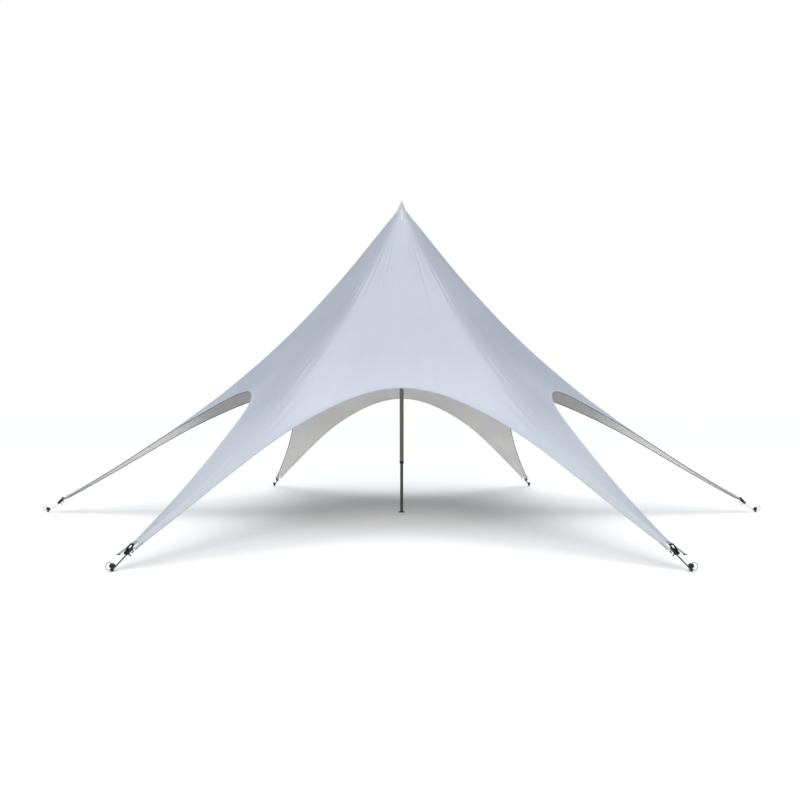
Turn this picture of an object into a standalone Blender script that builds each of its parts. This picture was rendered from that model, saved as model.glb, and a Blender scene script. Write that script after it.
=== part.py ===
"""Star tent: a six-pointed canopy on one telescopic mast, drawn tight by six ratchets to six pegs.

Metres, +Z up. The origin is on the ground, under the middle of the mast's foot. The six legs stand at
0, 60, 120, 180, 240 and 300 degrees round +Z, and each gore of cloth spans from one leg to the next.
"""

import math

import bmesh
import bpy
import numpy as np
from mathutils import Matrix, Vector
from mathutils.bvhtree import BVHTree

# Gap that touching pieces keep
GAP = 0.0003

# The canopy: distances from the mast's axis and heights above the ground
LEG_COUNT = 6
HALF_GORE = math.pi / LEG_COUNT
TOP_RADIUS = 0.060
TIP_RADIUS = 6.07
TIP_HALF_WIDTH = 0.075
CROWN_RADIUS = 2.914
APEX_HEIGHT = 5.612
RIDGE_SLOPE = 1.417
RIDGE_CURVE = 0.1262
RIDGE_EASE = 0.0061
POINT_DEPTH = 0.0345
POINT_AT = 0.10
POINT_REACH = 0.25
HEM_BEND = 2.36
SAG_RATE = 0.0519
SAG_REACH = 3.405
TIP_FOLD = 0.62
TIP_FOLD_REACH = 0.76
CLOTH = 0.006
GORE_COLUMNS = 14
GORE_ROWS = 14

# Sides of round pieces
SEAM_SIDES = 48
TUBE_SIDES = 32
PEG_SIDES = 20
BAR_SIDES = 14

# The mast
UPPER_RADIUS = 0.0365
UPPER_BORE = 0.0325
LOWER_RADIUS = 0.0275
LOWER_BORE = 0.0240
STEP_HEIGHT = 0.880
COLLAR_HEIGHT = 0.045
LOWER_TOP = 1.80
BUSH_HEIGHT = 0.060
SLIDE_GAP = 0.0004
FOOT_RADIUS = 0.065
FOOT_HEIGHT = 0.008
HEAD_RIM = 0.095
HEAD_TOP = 0.058
HEAD_DEPTH = 0.110
HEAD_WALL = 0.012
HEAD_STEM = 0.020
PIN_RADIUS = 0.018
ROUND_SEAM = 0.0009

# The cap over the apex
CAP_RIM = 0.078
CAP_WALL = 0.005
CAP_TIP = 5.648
CAP_SEAM = 0.0006

# The pegs
PEG_RADIUS = 6.40
PEG_NECK = 0.012
PEG_HEAD = 0.032
PEG_HEAD_LOW = 0.043
PEG_HEAD_SIDE = 0.070
PEG_TOP = 0.090
PEG_RING = 0.042
PEG_RING_WIRE = 0.0035
PEG_RING_OUT = 0.046
PEG_RING_UP = 0.066

# The tie line of a leg, from its peg up to its tip, and what sits on it
TIE_HEIGHT = 0.019
TIE_DROP = 0.050
STRAP_THICK = 0.0035
STRAP_WIDTH = 0.025
HOOK_RADIUS = 0.0215
HOOK_WIRE = 0.004
SEWN_LENGTH = 0.040
SPOOL_AT = 0.250
SPOOL_RADIUS = 0.010
ROLL_RADIUS = 0.0155
ROLL_SPREAD = 0.0006
STRAP_LEVEL = -SPOOL_RADIUS - STRAP_THICK
STUB_RADIUS = 0.007
STUB_CLEARANCE = 0.0005

# The ratchet, along its own length from the spool
CHEEK_IN = 0.0180
CHEEK_THICK = 0.0025
CHEEK_HALF_HEIGHT = 0.0155
PIN_AT = 0.078
FIXED_PIN_RADIUS = 0.005
PAWL_AT = 0.036
PAWL_LENGTH = 0.018
STUB_CAP = 0.011
HANDLE_IN = 0.0260
HANDLE_THICK = 0.0025
HANDLE_REACH = 0.114
HANDLE_RISE = 0.032
HANDLE_EYE = 0.019
HANDLE_BELLY = (0.030, -0.005)
HANDLE_SHOULDER = 0.046
HANDLE_END = 0.009
GRIP_DEPTH = 0.013
GRIP_HEIGHT = 0.0105
STUB_OUT = 0.0355

# The webbing that ties a leg's tip to its ratchet
WEB_WIDTH = 0.033
WEB_THICK = 0.003
WEB_INSIDE = 0.16
WEB_BEND = FIXED_PIN_RADIUS + GAP
WEB_RETURN = 0.028
WEB_ROWS_INSIDE = (0.0, 0.33, 0.66, 0.97)
WEB_TURN_STEPS = 8
WEB_TURN_START = 50

MATERIALS = {
    "canopy_cloth": ((0.80, 0.82, 0.87), 0.62, 0.0),
    "cap_cloth": ((0.62, 0.62, 0.62), 0.60, 0.0),
    "mast_aluminium": ((0.34, 0.34, 0.31), 0.38, 1.0),
    "black_steel": ((0.03, 0.03, 0.03), 0.45, 0.6),
    "black_webbing": ((0.025, 0.025, 0.025), 0.80, 0.0),
    "white_webbing": ((0.75, 0.75, 0.76), 0.75, 0.0),
}


def clear_scene():
    for obj in list(bpy.data.objects):
        bpy.data.objects.remove(obj, do_unlink=True)


def material(name):
    colour, roughness, metallic = MATERIALS[name]
    found = bpy.data.materials.get(name)
    if found:
        return found
    made = bpy.data.materials.new(name)
    made.use_nodes = True
    shader = made.node_tree.nodes["Principled BSDF"]
    shader.inputs["Base Color"].default_value = (*colour, 1.0)
    shader.inputs["Roughness"].default_value = roughness
    shader.inputs["Metallic"].default_value = metallic
    return made


def mesh_of(name, points, faces):
    mesh = bpy.data.meshes.new(name)
    mesh.from_pydata([tuple(map(float, p)) for p in points], [], [list(map(int, f)) for f in faces])
    mesh.validate()
    return mesh


def add(name, mesh, finish, matrix=None, smooth_degrees=30.0):
    """A named object with its material, at a place given by a matrix."""
    obj = bpy.data.objects.new(name, mesh)
    bpy.context.scene.collection.objects.link(obj)
    if not mesh.materials:
        mesh.materials.append(material(finish))
    if smooth_degrees:
        mesh.shade_smooth()
        mesh.set_sharp_from_angle(angle=math.radians(smooth_degrees))
    if matrix is not None:
        obj.matrix_world = matrix
    return obj


# Shapes


def turned(name, profile, sides):
    """A closed profile of (radius, height) points turned round Z, listed up the outside and down the inside.

    A point on the axis is one vertex, so a profile that starts and ends there gives a solid end.
    """
    points, rings = [], []
    for radius, height in profile:
        count = 1 if radius == 0 else sides
        rings.append(list(range(len(points), len(points) + count)))
        for k in range(count):
            angle = 2 * math.pi * k / sides
            points.append((radius * math.cos(angle), radius * math.sin(angle), height))
    faces = []
    closed = profile[0][0] != 0
    for i in range(len(rings) if closed else len(rings) - 1):
        low, high = rings[i], rings[(i + 1) % len(rings)]
        for k in range(sides):
            j = (k + 1) % sides
            ring = [low[k % len(low)], low[j % len(low)], high[j % len(high)], high[k % len(high)]]
            faces.append(list(dict.fromkeys(ring)))
    return mesh_of(name, points, faces)


def torus(name, radius, wire, sides, wire_sides):
    angles = [2 * math.pi * k / wire_sides for k in range(wire_sides)]
    profile = [(radius + wire * math.cos(a), wire * math.sin(a)) for a in angles]
    return turned(name, profile, sides)


def rod(name, radius, length, sides):
    """A bar along Y, centred on the origin."""
    profile = [(0, -length / 2), (radius, -length / 2), (radius, length / 2), (0, length / 2)]
    mesh = turned(name, profile, sides)
    mesh.transform(Matrix.Rotation(-math.pi / 2, 4, "X"))
    return mesh


def plate(name, outline, thickness, at):
    """An outline in X and Z, given anticlockwise as seen from -Y, as a plate of this thickness about Y = at."""
    count = len(outline)
    sides = (at - thickness / 2, at + thickness / 2)
    points = [(x, y, z) for y in sides for x, z in outline]
    faces = [list(range(count)), list(range(2 * count - 1, count - 1, -1))]
    faces += [[(k + 1) % count, k, k + count, (k + 1) % count + count] for k in range(count)]
    return mesh_of(name, points, faces)


def block(name, low, high):
    outline = [(low[0], low[2]), (high[0], low[2]), (high[0], high[2]), (low[0], high[2])]
    return plate(name, outline, high[1] - low[1], (low[1] + high[1]) / 2)


def arc(centre, radius, start, end, steps):
    """Points round a centre in X and Z, from one angle in degrees to another."""
    found = []
    for k in range(steps + 1):
        angle = math.radians(start + (end - start) * k / steps)
        found.append((centre[0] + radius * math.cos(angle), centre[1] + radius * math.sin(angle)))
    return found


def sheet_mesh(name, outer, inner):
    """A closed sheet between two grids of points with the same rows and columns, with a rim that joins them."""
    rows, columns = outer.shape[:2]
    index = np.arange(rows * columns).reshape(rows, columns)
    below = index + rows * columns
    faces = []
    for i in range(rows - 1):
        for j in range(columns - 1):
            corners = [(i, j), (i + 1, j), (i + 1, j + 1), (i, j + 1)]
            faces.append([index[c] for c in corners])
            faces.append([below[c] for c in reversed(corners)])
    rim = [(i, 0) for i in range(rows)] + [(rows - 1, j) for j in range(1, columns)]
    rim += [(i, columns - 1) for i in range(rows - 2, -1, -1)] + [(0, j) for j in range(columns - 2, 0, -1)]
    for here, there in zip(rim, rim[1:] + rim[:1]):
        faces.append([index[there], index[here], below[here], below[there]])
    mesh = mesh_of(name, np.concatenate([outer.reshape(-1, 3), inner.reshape(-1, 3)]), faces)
    shape = bmesh.new()
    shape.from_mesh(mesh)
    bmesh.ops.triangulate(shape, faces=shape.faces)
    bmesh.ops.recalc_face_normals(shape, faces=shape.faces)
    shape.to_mesh(mesh)
    shape.free()
    return mesh


def combine(name, base, added=(), cut=()):
    """One mesh: the base with meshes joined to it and others cut from it."""
    holder = bpy.data.objects.new(name, base)
    bpy.context.scene.collection.objects.link(holder)
    tools = []
    for operation, meshes in (("UNION", added), ("DIFFERENCE", cut)):
        for mesh in meshes:
            tool = bpy.data.objects.new(name + "_tool", mesh)
            bpy.context.scene.collection.objects.link(tool)
            tools.append(tool)
            modifier = holder.modifiers.new("join", "BOOLEAN")
            modifier.operation = operation
            modifier.solver = "EXACT"
            modifier.object = tool
    bpy.context.view_layer.update()
    graph = bpy.context.evaluated_depsgraph_get()
    made = bpy.data.meshes.new_from_object(holder.evaluated_get(graph), depsgraph=graph)
    made.name = name
    for obj in [*tools, holder]:
        bpy.data.objects.remove(obj, do_unlink=True)
    return made


# The canopy


def ridge_height(radius):
    """The height of the cloth over a leg, from the apex out to the tip, drawn in a little under the cap."""
    drawn_in = POINT_DEPTH * np.exp(-(((radius - POINT_AT) / POINT_REACH) ** 2))
    return APEX_HEIGHT - RIDGE_SLOPE * radius + RIDGE_CURVE * radius**2 - RIDGE_EASE * radius**3 - drawn_in


def sag(radius):
    """How far the middle of a gore lies under the ridges at this distance from the axis, if it reached there.

    It grows with the square of the distance, eases off past the arches, and grows again at the tips, where
    the cloth is gathered into a narrow fold.
    """
    panel = SAG_RATE * radius**2 * np.exp(-((radius / SAG_REACH) ** 4))
    fold = TIP_FOLD * HALF_GORE / 2 * radius * np.exp((radius - TIP_RADIUS) / TIP_FOLD_REACH)
    return panel + fold


def cloth_height(along, across):
    """The height of the outer surface over a point of the gore whose middle runs along +X.

    It is the ridge's height at the same distance from the axis, less a sag that falls from the whole of its
    value in the gore's middle to nothing at the ridges, as one minus the square of the angle's share.
    """
    radius = np.hypot(along, across)
    share = np.arctan2(across, along) / HALF_GORE
    return ridge_height(radius) - sag(radius) * (1 - share**2)


def gore_surface():
    """The outer surface of the gore whose middle runs along +X, as rows from the top ring to the hem.

    Seen from above, each row is a hyperbola from leg to leg through a point on the gore's middle line. The
    rows' ends run down the two ridges to the tips, and the last row ends at the far corners of the tips.
    """
    down = np.linspace(0, 1, GORE_ROWS + 1)[:, None]
    across = np.linspace(-1, 1, GORE_COLUMNS + 1)[None, :]
    tip_share = 1 - 1 / GORE_ROWS
    radius = TOP_RADIUS + (TIP_RADIUS - TOP_RADIUS) * np.minimum(down / tip_share, 1)
    inward = TIP_HALF_WIDTH * np.maximum(down - tip_share, 0) / (1 - tip_share)
    end_along = radius * math.cos(HALF_GORE) + inward * math.sin(HALF_GORE)
    end_across = radius * math.sin(HALF_GORE) - inward * math.cos(HALF_GORE)
    reach = TOP_RADIUS + (TIP_RADIUS - TOP_RADIUS) * down
    middle = CROWN_RADIUS * (1 - (1 - reach / TIP_RADIUS) ** (TIP_RADIUS / CROWN_RADIUS))
    bent = np.sqrt(1 + (across * end_across / HEM_BEND) ** 2) - 1
    bent /= np.sqrt(1 + (end_across / HEM_BEND) ** 2) - 1
    along = middle + (end_along - middle) * bent
    side = across * end_across
    return np.stack([along, side, cloth_height(along, side)], axis=2)


def gore_inner(outer):
    """The inner surface: the outer one moved in by the cloth's thickness, mitred in the plane of each leg."""
    down = np.gradient(outer, axis=0)
    across = np.gradient(outer, axis=1)
    normal = np.cross(down, across)
    normal /= np.linalg.norm(normal, axis=2, keepdims=True)
    for column, sign in ((0, -1), (-1, 1)):
        side = np.array([-math.sin(HALF_GORE) * sign, math.cos(HALF_GORE), 0])
        ridge_rows = normal[:, column]
        ridge_rows -= (ridge_rows @ side)[:, None] * side
        ridge_rows /= np.linalg.norm(ridge_rows, axis=1, keepdims=True)
    return outer - normal * CLOTH


def part_from_leg(points):
    """Moves the edge columns half a gap away from the leg's plane, so that neighbouring gores don't touch."""
    moved = points.copy()
    for column, sign in ((0, -1), (-1, 1)):
        side = np.array([math.sin(HALF_GORE), -math.cos(HALF_GORE) * sign, 0])
        moved[:, column] += side * GAP
    return moved


def gore_mesh():
    """The gore as a closed sheet, which all six share."""
    return sheet_mesh("gore", part_from_leg(gore_surface()), part_from_leg(gore_inner(gore_surface())))


GORES = {
    "canopy_right_back": 30,
    "canopy_back": 90,
    "canopy_left_back": 150,
    "canopy_left_front": 210,
    "canopy_front": 270,
    "canopy_right_front": 330,
}
LEGS = {"right": 0, "right_back": 60, "left_back": 120, "left": 180, "left_front": 240, "right_front": 300}


def make_canopy():
    mesh = gore_mesh()
    made = []
    for name, degrees in GORES.items():
        turn = Matrix.Rotation(math.radians(degrees), 4, "Z")
        made.append(add(name, mesh, "canopy_cloth", turn, 40))
    return made


# The mast and the apex


def near_apex(radius, column):
    """The outer cloth's height near the apex, straight from the top ring to the first row, along one column."""
    top, row = gore_surface()[:2, column]
    start = math.hypot(top[0], top[1])
    slope = (row[2] - top[2]) / (math.hypot(row[0], row[1]) - start)
    return top[2] + slope * (radius - start)


def under_cloth(radius):
    """The height of a round surface that lies just under the cloth near the apex."""
    middle = GORE_COLUMNS // 2
    slope = near_apex(1, middle) - near_apex(0, middle)
    return near_apex(radius, middle) - CLOTH * math.sqrt(1 + slope**2) - ROUND_SEAM


def make_mast():
    rim_height = under_cloth(HEAD_RIM)
    head_low = rim_height - HEAD_DEPTH
    pin_top = near_apex(TOP_RADIUS, 0) + CAP_SEAM - GAP
    dish_low = under_cloth(HEAD_TOP) - HEAD_WALL
    head = [
        (0, head_low),
        (UPPER_RADIUS, head_low),
        (UPPER_RADIUS, head_low + HEAD_WALL),
        (HEAD_STEM, head_low + HEAD_WALL),
        (HEAD_STEM, dish_low),
        (HEAD_TOP - HEAD_WALL / 2, dish_low),
        (HEAD_RIM, rim_height - HEAD_WALL),
        (HEAD_RIM, rim_height),
        (HEAD_TOP, under_cloth(HEAD_TOP)),
        (PIN_RADIUS, under_cloth(HEAD_TOP)),
        (PIN_RADIUS, pin_top),
        (0, pin_top),
    ]
    add("mast_head", turned("mast_head", head, SEAM_SIDES), "black_steel")
    tube_top = head_low - GAP
    collar_top = STEP_HEIGHT + COLLAR_HEIGHT
    upper = [
        (UPPER_RADIUS, collar_top + GAP),
        (UPPER_RADIUS, tube_top),
        (UPPER_BORE, tube_top),
        (UPPER_BORE, collar_top + GAP),
    ]
    add("mast_upper", turned("mast_upper", upper, TUBE_SIDES), "mast_aluminium")
    bore = LOWER_RADIUS + SLIDE_GAP
    collar = [
        (bore + 0.004, STEP_HEIGHT),
        (UPPER_RADIUS + 0.003, STEP_HEIGHT + 0.012),
        (UPPER_RADIUS + 0.003, collar_top),
        (bore, collar_top),
        (bore, STEP_HEIGHT),
    ]
    add("mast_collar", turned("mast_collar", collar, TUBE_SIDES), "black_steel")
    bush = UPPER_BORE - SLIDE_GAP
    low = FOOT_HEIGHT + GAP
    lower = [
        (LOWER_RADIUS, low),
        (LOWER_RADIUS, LOWER_TOP - BUSH_HEIGHT),
        (bush, LOWER_TOP - BUSH_HEIGHT + 0.004),
        (bush, LOWER_TOP),
        (LOWER_BORE, LOWER_TOP),
        (LOWER_BORE, low),
    ]
    add("mast_lower", turned("mast_lower", lower, TUBE_SIDES), "mast_aluminium")
    foot = [(0, 0), (FOOT_RADIUS, 0), (FOOT_RADIUS, FOOT_HEIGHT - 0.002), (FOOT_RADIUS - 0.003, FOOT_HEIGHT)]
    foot.append((0, FOOT_HEIGHT))
    add("mast_foot", turned("mast_foot", foot, TUBE_SIDES), "black_steel")


def make_cap():
    """A thin cone pulled over the apex, resting on the cloth and on the pin of the mast's head."""
    seat = near_apex(TOP_RADIUS, 0) + CAP_SEAM
    rim_height = near_apex(CAP_RIM, 0) + CAP_SEAM
    inner = [(0, seat), (TOP_RADIUS, seat), (CAP_RIM, rim_height)]
    outer = [(CAP_RIM + CAP_WALL * 0.8, rim_height + CAP_WALL * 0.5)]
    outer += [(TOP_RADIUS, seat + 2 * CAP_WALL)]
    outer += [(0.034, CAP_TIP - 0.072), (0.012, CAP_TIP - 0.024), (0.004, CAP_TIP), (0, CAP_TIP)]
    add("apex_cap", turned("apex_cap", inner + outer, SEAM_SIDES), "cap_cloth")


# A leg's end: peg, strap, ratchet and webbing


def tie_slope():
    """The angle of the line from the peg's neck up to the level of the hems at the tip of the leg."""
    rise = ridge_height(TIP_RADIUS) - TIE_DROP - TIE_HEIGHT
    return math.atan2(rise, PEG_RADIUS - TIP_RADIUS)


def tie_matrix(at):
    """The spool's frame on the leg on +X, at a distance up the tie line: X uphill, Y aside, Z away from the ground.

    The strap runs along the tie line and meets the roll on the spool from below.
    """
    slope = tie_slope()
    uphill = Vector((-math.cos(slope), 0, math.sin(slope)))
    away = Vector((math.sin(slope), 0, math.cos(slope)))
    side = away.cross(uphill)
    place = Vector((PEG_RADIUS, 0, TIE_HEIGHT)) + at * uphill - STRAP_LEVEL * away
    columns = (uphill, side, away)
    rows = [[column[i] for column in columns] + [place[i]] for i in range(3)]
    return Matrix(rows + [[0, 0, 0, 1]])


def peg_mesh():
    """The head of a peg driven to the ground, on its neck, with the lifting ring that is welded on it."""
    profile = [
        (0, 0),
        (PEG_NECK, 0),
        (PEG_NECK, PEG_HEAD_LOW - 0.003),
        (PEG_HEAD - 0.006, PEG_HEAD_LOW),
        (PEG_HEAD, PEG_HEAD_LOW + 0.006),
        (PEG_HEAD, PEG_HEAD_SIDE),
        (PEG_HEAD - 0.008, PEG_TOP - 0.007),
        (PEG_HEAD - 0.018, PEG_TOP),
        (0, PEG_TOP),
    ]
    head = turned("peg", profile, PEG_SIDES)
    ring = torus("peg_ring", PEG_RING, PEG_RING_WIRE, 22, 6)
    ring.transform(Matrix.Translation((PEG_RING_OUT, 0, PEG_RING_UP)) @ Matrix.Rotation(math.pi / 2, 4, "X"))
    return combine("peg", head, added=[ring])


def strap_mesh():
    """The strap from the roll on the spool down to the wire loop round the peg's neck, in the spool's frame."""
    roll_in = SPOOL_RADIUS + GAP
    low = -STRAP_WIDTH / 2
    edge = low - ROLL_SPREAD
    profile = [(ROLL_RADIUS, edge), (ROLL_RADIUS, -edge), (roll_in, -edge), (roll_in, edge)]
    roll = turned("strap_roll", profile, PEG_SIDES)
    roll.transform(Matrix.Rotation(math.pi / 2, 4, "X"))
    neck_lean = (PEG_NECK + HOOK_WIRE + GAP) / math.cos(tie_slope())
    hook_centre = -SPOOL_AT + HOOK_RADIUS - neck_lean
    near = hook_centre + HOOK_RADIUS + 0.001
    half = STRAP_THICK / 2
    tail = block("strap_tail", (near, low, STRAP_LEVEL - half), (0, -low, STRAP_LEVEL + half))
    hook = torus("strap_hook", HOOK_RADIUS, HOOK_WIRE, 20, 6)
    hook.transform(Matrix.Translation((hook_centre, 0, STRAP_LEVEL)))
    half = HOOK_WIRE + 0.001
    sewn = block(
        "strap_end",
        (near - 0.002, low * 0.6, STRAP_LEVEL - half),
        (near + SEWN_LENGTH, -low * 0.6, STRAP_LEVEL + half),
    )
    return combine("strap", roll, added=[tail, sewn, hook])


def frame_mesh():
    """The ratchet's fixed half: two cheeks, the spool with its stub ends, the pawl and the webbing pin."""
    middle = CHEEK_IN + CHEEK_THICK / 2
    outline = arc((0, 0), CHEEK_HALF_HEIGHT, 90, 270, 8)
    outline += arc((PIN_AT, 0), CHEEK_HALF_HEIGHT * 0.7, -90, 90, 8)
    cheeks = [plate("cheek", outline, CHEEK_THICK, at) for at in (-middle, middle)]
    spool = rod("spool", SPOOL_RADIUS, 2 * CHEEK_IN + CHEEK_THICK, BAR_SIDES)
    stubs = rod("stubs", STUB_RADIUS, 2 * STUB_OUT, BAR_SIDES)
    pin = rod("webbing_pin", FIXED_PIN_RADIUS, 2 * CHEEK_IN + CHEEK_THICK, BAR_SIDES)
    pin.transform(Matrix.Translation((PIN_AT, 0, 0)))
    pawl = block("pawl", (PAWL_AT, -middle, -0.002), (PAWL_AT + PAWL_LENGTH, middle, 0.001))
    caps = []
    for sign in (-1, 1):
        cap = rod("stub_cap", STUB_CAP, CHEEK_THICK, BAR_SIDES)
        cap.transform(Matrix.Translation((0, sign * STUB_OUT, 0)))
        caps.append(cap)
    return combine("ratchet_frame", cheeks[0], added=[cheeks[1], spool, stubs, pin, pawl, *caps])


def handle_mesh():
    """The ratchet's lever, closed: two cheeks with an eye round the spool's stubs, joined by the grip."""
    middle = HANDLE_IN + HANDLE_THICK / 2
    grip_end = (HANDLE_REACH, HANDLE_RISE)
    outline = arc((0, 0), HANDLE_EYE, 60, 250, 9)
    outline += [HANDLE_BELLY, (HANDLE_REACH - 2.5 * HANDLE_END, HANDLE_RISE - 1.4 * HANDLE_END)]
    outline += arc(grip_end, HANDLE_END, -60, 90, 6)
    outline += [(HANDLE_SHOULDER, HANDLE_RISE - HANDLE_END / 3)]
    cheeks = [plate("lever", outline, HANDLE_THICK, at) for at in (-middle, middle)]
    low = (HANDLE_REACH - GRIP_DEPTH / 2, -middle, HANDLE_RISE + 0.006 - GRIP_HEIGHT)
    high = (HANDLE_REACH + GRIP_DEPTH / 2 - 0.001, middle, HANDLE_RISE + 0.006)
    grip = block("grip", low, high)
    hole = rod("eye", STUB_RADIUS + STUB_CLEARANCE, 3 * HANDLE_IN, BAR_SIDES)
    return combine("ratchet_handle", cheeks[0], added=[cheeks[1], grip], cut=[hole])


def web_stations(under):
    """The webbing's two faces as rows of points, from inside the leg down to its turn round the ratchet's pin.

    Inside the leg the webbing follows the cloth from below, folded over the ridge as the cloth is. Past the
    tip it flattens, runs to the pin, goes round it and comes back a little way underneath.
    """
    offsets = [WEB_WIDTH / 4 * k for k in (-2, -1, 0, 1, 2)]
    to_tie = tie_matrix(SPOOL_AT).inverted()
    stations = []
    for share in WEB_ROWS_INSIDE:
        radius = TIP_RADIUS - WEB_INSIDE * (1 - share)
        top = [Vector(under(radius, -side)) for side in offsets]
        near = [to_tie @ (point - Vector((0, 0, WEB_THICK))) for point in top]
        stations.append((near, [to_tie @ point for point in top]))
    for k in range(WEB_TURN_STEPS + 1):
        angle = math.radians(WEB_TURN_START + (270 - WEB_TURN_START) * k / WEB_TURN_STEPS)
        near, far = ([Vector((PIN_AT + reach * math.cos(angle), side, reach * math.sin(angle)))
                      for side in offsets] for reach in (WEB_BEND, WEB_BEND + WEB_THICK))
        stations.append((near, far))
    near, far = ([Vector((PIN_AT + WEB_RETURN, side, -reach)) for side in offsets]
                 for reach in (WEB_BEND, WEB_BEND + WEB_THICK))
    return [*stations, (near, far)]


def web_mesh(under):
    """The webbing as a strip with thickness, swept through its stations, in the spool's frame."""
    stations = web_stations(under)
    near = np.array([[tuple(p) for p in faces[0]] for faces in stations])
    far = np.array([[tuple(p) for p in faces[1]] for faces in stations])
    return sheet_mesh("leg_web", far, near)


def cloth_below(gores):
    """A function that gives the point just under the cloth of the leg on +X, at a radius and a side offset."""
    right = [obj for obj in gores if obj.name in ("canopy_right_back", "canopy_right_front")]
    trees = []
    for obj in right:
        points = [obj.matrix_world @ v.co for v in obj.data.vertices]
        trees.append(BVHTree.FromPolygons(points, [tuple(p.vertices) for p in obj.data.polygons]))

    def under(radius, side):
        aside = side if abs(side) > 0.001 else 0.001
        hits = [tree.ray_cast(Vector((radius, aside, 0)), Vector((0, 0, 1)))[0] for tree in trees]
        height = min(hit.z for hit in hits if hit is not None)
        return (radius, side, height - 2 * GAP)

    return under


def make_legs(gores):
    bpy.context.view_layer.update()
    at_spool = tie_matrix(SPOOL_AT)
    pieces = {
        "peg": (peg_mesh(), "black_steel", Matrix.Translation((PEG_RADIUS, 0, 0))),
        "strap": (strap_mesh(), "black_webbing", at_spool),
        "ratchet_frame": (frame_mesh(), "black_steel", at_spool),
        "ratchet_handle": (handle_mesh(), "black_steel", at_spool),
        "leg_web": (web_mesh(cloth_below(gores)), "white_webbing", at_spool),
    }
    for leg, degrees in LEGS.items():
        turn = Matrix.Rotation(math.radians(degrees), 4, "Z")
        for piece, (mesh, finish, place) in pieces.items():
            add(piece + "_" + leg, mesh, finish, turn @ place)


def main():
    clear_scene()
    gores = make_canopy()
    make_mast()
    make_cap()
    make_legs(gores)


main()
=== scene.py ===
"""Looks for the star tent: a six-pointed canopy on a telescopic mast, tied by ratchets to six pegs.

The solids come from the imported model, and every piece here is worked out from the same sizes, in metres,
+Z up, with the origin on the ground under the mast. The right leg lies along +X, and -Y is the front.
"""

import math
from functools import partial

import bmesh
import bpy
import numpy as np
from bpy.props import FloatProperty, IntProperty, PointerProperty, StringProperty
from bpy.types import Operator, Panel, PropertyGroup
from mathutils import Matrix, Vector


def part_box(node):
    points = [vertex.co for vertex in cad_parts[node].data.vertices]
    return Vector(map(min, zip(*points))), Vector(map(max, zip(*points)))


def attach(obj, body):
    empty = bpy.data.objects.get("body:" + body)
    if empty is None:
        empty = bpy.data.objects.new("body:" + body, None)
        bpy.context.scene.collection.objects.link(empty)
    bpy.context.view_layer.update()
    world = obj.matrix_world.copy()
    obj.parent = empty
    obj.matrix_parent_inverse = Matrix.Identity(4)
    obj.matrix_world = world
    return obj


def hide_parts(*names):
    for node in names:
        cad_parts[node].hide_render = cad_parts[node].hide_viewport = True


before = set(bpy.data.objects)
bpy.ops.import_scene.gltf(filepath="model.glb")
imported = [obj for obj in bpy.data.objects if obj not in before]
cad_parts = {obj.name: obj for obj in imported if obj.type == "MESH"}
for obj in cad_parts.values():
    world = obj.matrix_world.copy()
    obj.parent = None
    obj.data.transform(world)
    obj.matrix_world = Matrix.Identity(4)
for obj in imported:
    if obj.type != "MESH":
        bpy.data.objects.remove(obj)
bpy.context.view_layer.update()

bl_info = {
    "name": "Star tent",
    "version": (1, 0, 0),
    "blender": (4, 5, 0),
    "location": "View3D > Sidebar > Star tent",
    "description": "Builds the cloth, webbing and fittings of a six-pointed star tent round its solids",
    "category": "Add Mesh",
}

ROOT = "tent"
TUBE = "mast_tube"
LEGS = {"right": 0, "right_back": 60, "left_back": 120, "left": 180, "left_front": 240, "right_front": 300}
GORES = {"right_back": 30, "back": 90, "left_back": 150, "left_front": 210, "front": 270, "right_front": 330}

# The canopy's form, as in the solids
HALF_GORE = math.pi / 6
TOP_RADIUS = 0.060
TIP_RADIUS = 6.07
TIP_HALF_WIDTH = 0.075
TIP_SHARE = 13 / 14
CROWN_RADIUS = 2.914
APEX_HEIGHT = 5.612
RIDGE_SLOPE = 1.417
RIDGE_CURVE = 0.1262
RIDGE_EASE = 0.0061
POINT_DEPTH = 0.0345
POINT_AT = 0.10
POINT_REACH = 0.25
HEM_BEND = 2.36
SAG_RATE = 0.0519
SAG_REACH = 3.405
TIP_FOLD = 0.62
TIP_FOLD_REACH = 0.76

# The shown cloth lies inside the solid one, with its ridges eased and its tips cut a little hollow
CLOTH_DEPTH = 0.0030
CLOTH_THICK = 0.0016
SLANT = math.sqrt(2)
CANOPY_ROWS = 70
CANOPY_COLUMNS = 114
EASED_SHARE = 0.46
EASED_LEAST = 0.008
EASED_REACH = 5.0
TIP_HOLLOW = 0.005
TIP_HOLLOW_REACH = 0.10

# Folds: waves round the mast as (count, start, height), drag lines beside each ridge as (distance from the
# mast, half length, distance aside, half width, height), the fold under the cap as (distance, half length,
# half width, height) and those in an arch's crown as (spacing, distance from the edge, half width, half
# length, height). The ripple beside a ridge is as (waves per metre, sway, sway's rate, reach, height), and
# grows over a span from a distance from the mast.
PLEATS = ((67, 1.1, 0.0017), (101, 0.4, 0.0011), (131, 2.0, 0.0007))
PLEAT_AT = 1.15
PLEAT_REACH = 0.50
DRAG_LINES = (
    (1.38, 0.20, 0.000, 0.019, 0.0110),
    (1.45, 0.22, 0.075, 0.022, 0.0050),
    (2.92, 0.22, 0.000, 0.025, 0.0100),
    (2.80, 0.34, 0.120, 0.034, 0.0045),
    (3.60, 0.30, 0.200, 0.040, 0.0050),
    (3.75, 0.30, 0.330, 0.045, 0.0040),
    (4.60, 0.45, 0.060, 0.026, 0.0025),
)
CENTRE_FOLD = (0.13, 0.13, 0.016, 0.010)
CROWN_FOLDS = (0.052, 0.11, 0.06, 0.75, 0.0052)
CROWN_BOW = 0.33
RIPPLE = (62, 1.7, 2.1, 0.35, 0.0012)
RIPPLE_FROM = 3.2
RIPPLE_SPAN = 1.5

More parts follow.
